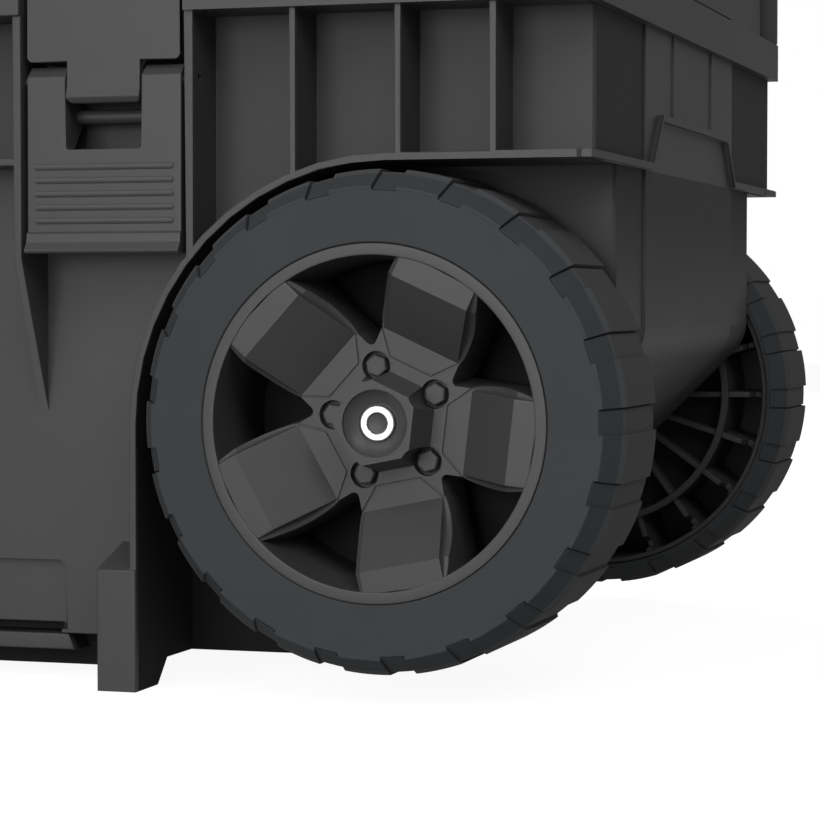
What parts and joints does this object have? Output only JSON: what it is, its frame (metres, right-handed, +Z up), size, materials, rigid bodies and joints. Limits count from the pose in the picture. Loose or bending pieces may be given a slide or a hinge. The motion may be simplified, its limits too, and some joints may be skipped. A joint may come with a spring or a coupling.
{
  "type": "rolling toolbox",
  "caption": "Long rolling tool chest with a ribbed tub, rear-hinged deep lid, flap latches on the front, spoked off-road wheels at one end and a pull-out handle at the other.",
  "frame": {"origin": "on the ground under the feet, at the middle of the chest's plan box", "axes": "+X along the length towards the wheels, -Y out of the latch front, +Z up"},
  "size_m": [0.8387, 0.526, 0.45],
  "materials": {
    "charcoal_plastic": "fine moulded texture",
    "graphite_plastic": "satin moulded",
    "tyre_rubber": "matt rubber",
    "seal_rubber": "soft matt",
    "bright_steel": "bright turned ends",
    "zinc_steel": "zinc plated",
    "aluminium_tube": "satin drawn tube"
  },
  "bodies": {
    "base": {"base_tub": "charcoal_plastic", "axle_sleeve": "charcoal_plastic", "axle_clip_front": "charcoal_plastic", "axle_clip_rear": "charcoal_plastic", "tube_collar_front": "charcoal_plastic", "tube_collar_rear": "charcoal_plastic", "guide_saddle_front_outer": "charcoal_plastic", "guide_saddle_front_inner": "charcoal_plastic", "guide_saddle_rear_outer": "charcoal_plastic", "guide_saddle_rear_inner": "charcoal_plastic", "axle": "bright_steel", "hinge_pin_left": "zinc_steel", "hinge_pin_right": "zinc_steel", "latch_pin_left": "zinc_steel", "latch_pin_right": "zinc_steel", "hub_spacer_front": "zinc_steel", "hub_spacer_rear": "zinc_steel", "guide_tube_front": "zinc_steel", "guide_tube_rear": "zinc_steel", "saddle_screw_front_outer": "zinc_steel", "saddle_screw_front_inner": "zinc_steel", "saddle_screw_rear_outer": "zinc_steel", "saddle_screw_rear_inner": "zinc_steel"},
    "lid": {"lid_shell": "charcoal_plastic", "lid_gasket": "seal_rubber"},
    "latch_left": {"latch_left": "graphite_plastic"},
    "latch_right": {"latch_right": "graphite_plastic"},
    "wheel_front": {"tyre_front": "tyre_rubber", "rim_front": "graphite_plastic", "hub_bush_front": "zinc_steel"},
    "wheel_rear": {"tyre_rear": "tyre_rubber", "rim_rear": "graphite_plastic", "hub_bush_rear": "zinc_steel"},
    "pull_handle": {"pull_grip": "graphite_plastic", "pull_tube_front": "aluminium_tube", "pull_tube_rear": "aluminium_tube", "tube_stop_front": "charcoal_plastic", "tube_stop_rear": "charcoal_plastic", "button_spring": "zinc_steel"},
    "release_button": {"release_button": "charcoal_plastic"}
  },
  "joints": [
    {"name": "lid_hinge", "type": "hinge", "parent": "base", "child": "lid", "pos_m": [0, 0.2515, 0.3451], "axis": [-1, 0, 0], "range_deg": [0, 98]},
    {"name": "latch_left_flip", "type": "hinge", "parent": "base", "child": "latch_left", "pos_m": [-0.163, -0.234, 0.2905], "axis": [-1, 0, 0], "range_deg": [0, 95]},
    {"name": "latch_right_flip", "type": "hinge", "parent": "base", "child": "latch_right", "pos_m": [0.163, -0.234, 0.2905], "axis": [-1, 0, 0], "range_deg": [0, 95]},
    {"name": "wheel_front_spin", "type": "hinge", "parent": "base", "child": "wheel_front", "pos_m": [0.3035, -0.216, 0.13], "axis": [0, 1, 0], "continuous": true},
    {"name": "wheel_rear_spin", "type": "hinge", "parent": "base", "child": "wheel_rear", "pos_m": [0.3035, 0.216, 0.13], "axis": [0, 1, 0], "continuous": true},
    {"name": "handle_slide", "type": "slide", "parent": "base", "child": "pull_handle", "axis": [-1, 0, 0], "range_m": [0, 0.36]},
    {"name": "button_press", "type": "slide", "parent": "pull_handle", "child": "release_button", "axis": [0, 0, -1], "range_m": [0, 0.0035], "stiffness_N_per_m": 400}
  ]
}
